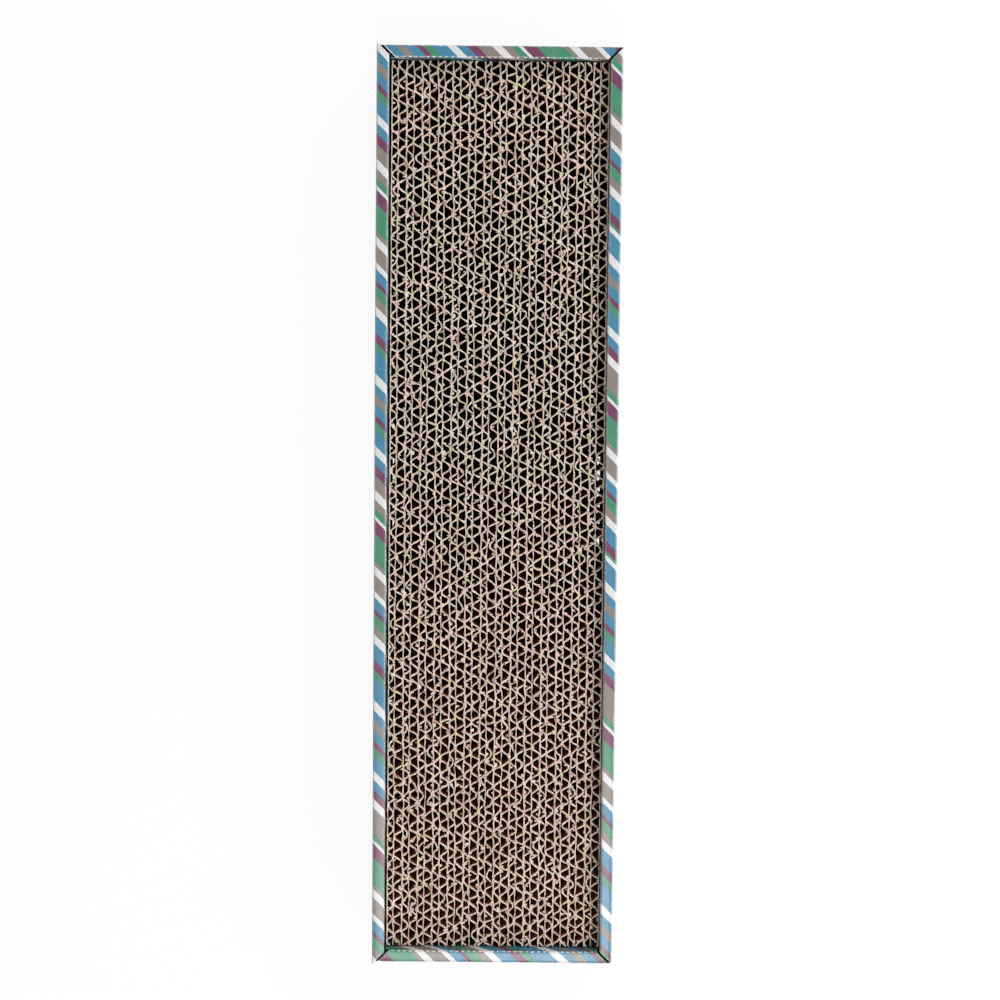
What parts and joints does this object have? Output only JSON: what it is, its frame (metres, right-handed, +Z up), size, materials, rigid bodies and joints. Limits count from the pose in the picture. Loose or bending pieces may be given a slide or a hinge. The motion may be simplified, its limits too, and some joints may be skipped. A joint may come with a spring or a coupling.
{
  "type": "cat scratcher",
  "caption": "Long cardboard cat scratcher: a pad of corrugated strips stood on edge lies loose in a shallow folded tray with flat mitred rims and a diagonal stripe print.",
  "frame": {"origin": "centre of the tray's underside", "axes": "+X across the strips, to the right of the picture; +Y along the strips, to the back end at the picture's top; +Z up, out of the tray's mouth"},
  "size_m": [0.127, 0.48, 0.05],
  "materials": {
    "printed_board": "matt printed paper",
    "kraft_liner": "matt, cut edges",
    "kraft_flute": "matt, cut edges"
  },
  "bodies": {
    "tray": {"tray_floor": "printed_board", "left_outer_wall": "printed_board", "left_rim": "printed_board", "left_inner_wall": "printed_board", "right_outer_wall": "printed_board", "right_rim": "printed_board", "right_inner_wall": "printed_board", "back_outer_wall": "printed_board", "back_rim": "printed_board", "back_inner_wall": "printed_board", "front_outer_wall": "printed_board", "front_rim": "printed_board", "front_inner_wall": "printed_board", "back_left_corner_flap": "printed_board", "back_right_corner_flap": "printed_board", "front_left_corner_flap": "printed_board", "front_right_corner_flap": "printed_board"},
    "pad": {"strip_01_liners": "kraft_liner", "strip_01_fine_flutes": "kraft_flute", "strip_01_coarse_flutes": "kraft_flute", "strip_02_liners": "kraft_liner", "strip_02_fine_flutes": "kraft_flute", "strip_02_coarse_flutes": "kraft_flute", "strip_03_liners": "kraft_liner", "strip_03_fine_flutes": "kraft_flute", "strip_03_coarse_flutes": "kraft_flute", "strip_04_liners": "kraft_liner", "strip_04_fine_flutes": "kraft_flute", "strip_04_coarse_flutes": "kraft_flute", "strip_05_liners": "kraft_liner", "strip_05_fine_flutes": "kraft_flute", "strip_05_coarse_flutes": "kraft_flute", "strip_06_liners": "kraft_liner", "strip_06_fine_flutes": "kraft_flute", "strip_06_coarse_flutes": "kraft_flute", "strip_07_liners": "kraft_liner", "strip_07_fine_flutes": "kraft_flute", "strip_07_coarse_flutes": "kraft_flute", "strip_08_liners": "kraft_liner", "strip_08_fine_flutes": "kraft_flute", "strip_08_coarse_flutes": "kraft_flute", "strip_09_liners": "kraft_liner", "strip_09_fine_flutes": "kraft_flute", "strip_09_coarse_flutes": "kraft_flute", "strip_10_liners": "kraft_liner", "strip_10_fine_flutes": "kraft_flute", "strip_10_coarse_flutes": "kraft_flute", "strip_11_liners": "kraft_liner", "strip_11_fine_flutes": "kraft_flute", "strip_11_coarse_flutes": "kraft_flute", "strip_12_liners": "kraft_liner", "strip_12_fine_flutes": "kraft_flute", "strip_12_coarse_flutes": "kraft_flute", "strip_13_liners": "kraft_liner", "strip_13_fine_flutes": "kraft_flute", "strip_13_coarse_flutes": "kraft_flute", "strip_14_liners": "kraft_liner", "strip_14_fine_flutes": "kraft_flute", "strip_14_coarse_flutes": "kraft_flute"}
  },
  "joints": [
    {"name": "pad_lift", "type": "slide", "parent": "tray", "child": "pad", "axis": [0, 0, 1], "range_m": [0, 0.055]}
  ]
}
